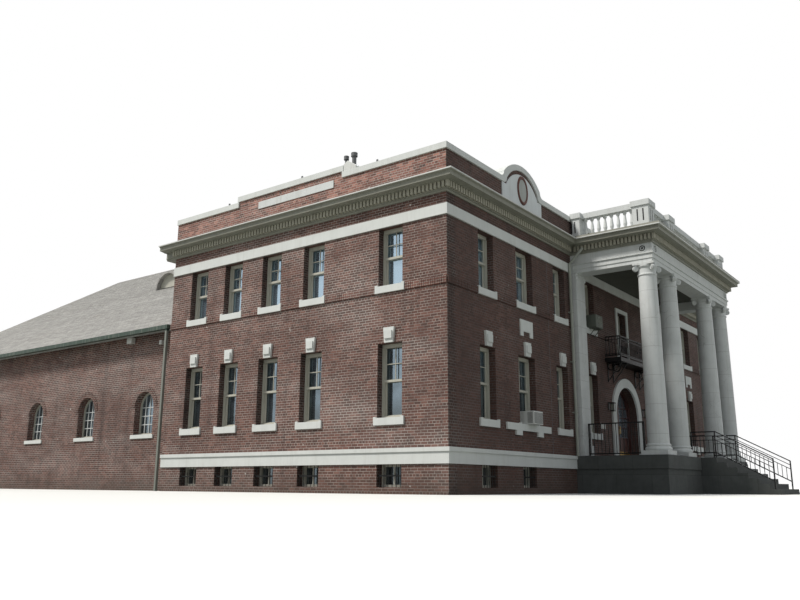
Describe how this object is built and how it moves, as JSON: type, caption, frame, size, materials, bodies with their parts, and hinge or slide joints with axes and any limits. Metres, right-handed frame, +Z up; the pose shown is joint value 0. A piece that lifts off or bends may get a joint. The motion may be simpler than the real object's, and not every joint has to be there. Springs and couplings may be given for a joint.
{
  "type": "armory building",
  "caption": "Two-storey brick head house with a columned portico, double entrance doors and a pitched drill hall behind",
  "frame": {"origin": "On the lowest ground, in the middle of the plan, steps and hall included", "axes": "+Z is up, the columned front faces -Y, +X is to the right seen from the front"},
  "size_m": [25.52, 39.32, 13.1489],
  "materials": {
    "brick": "dark reddish-brown brickwork with pale mortar",
    "hall_brick": "dark reddish-brown brickwork, weathered",
    "pale_stone": "pale dressed stone",
    "porch_stone": "grey stone, worn",
    "white_paint": "white-painted stone, cracked and dirty",
    "olive_paint": "grey-olive paint on sheet metal",
    "frame_paint": "greyish-beige paint",
    "window_glass": "bluish dark glass",
    "door_wood": "dark reddish painted wood",
    "black_iron": "black paint",
    "floor": "plain",
    "shingle": "grey shingles, weathered",
    "gutter_paint": "dark green paint"
  },
  "bodies": {
    "building": {"left_wall": "brick", "right_wall": "brick", "front_left_wall": "brick", "front_right_wall": "brick", "over_door_wall": "brick", "rear_wall": "brick", "left_parapet": "brick", "right_parapet": "brick", "front_parapet": "brick", "hall_left_wall": "hall_brick", "hall_right_wall": "hall_brick", "hall_end_wall": "hall_brick", "water_table": "pale_stone", "belt_course": "pale_stone", "sills_and_keystones": "pale_stone", "door_surround": "pale_stone", "front_coping": "pale_stone", "side_copings": "pale_stone", "door_sill": "pale_stone", "porch_base": "porch_stone", "front_steps": "porch_stone", "column_1": "white_paint", "column_2": "white_paint", "column_3": "white_paint", "column_4": "white_paint", "capitals": "white_paint", "pilasters": "white_paint", "entablature": "white_paint", "front_balustrade": "white_paint", "side_balustrades": "white_paint", "left_cornice": "olive_paint", "right_cornice": "olive_paint", "front_left_cornice": "olive_paint", "front_right_cornice": "olive_paint", "portico_roof": "olive_paint", "left_window_frames": "frame_paint", "right_window_frames": "frame_paint", "front_window_frames": "frame_paint", "hall_windows": "frame_paint", "dormer_windows": "frame_paint", "window_glass": "window_glass", "door_frame": "door_wood", "balcony": "black_iron", "balcony_brackets": "black_iron", "balcony_railing": "black_iron", "porch_railings": "black_iron", "stair_railings": "black_iron", "door_hinges": "black_iron", "first_floor": "floor", "second_floor": "floor", "roof_deck": "floor", "hall_floor": "floor", "hall_roof_left": "shingle", "hall_roof_right": "shingle", "dormers": "shingle", "gutters": "gutter_paint"},
    "left_leaf": {"left_door": "door_wood", "left_door_glass": "window_glass"},
    "right_leaf": {"right_door": "door_wood", "right_door_glass": "window_glass"}
  },
  "joints": [
    {"name": "left_door_hinge", "type": "hinge", "parent": "building", "child": "left_leaf", "pos_m": [-1.097, -13.772, 2.1], "axis": [0, 0, 1], "range_deg": [0, 90]},
    {"name": "right_door_hinge", "type": "hinge", "parent": "building", "child": "right_leaf", "pos_m": [1.097, -13.772, 2.1], "axis": [0, 0, -1], "range_deg": [0, 90]}
  ]
}
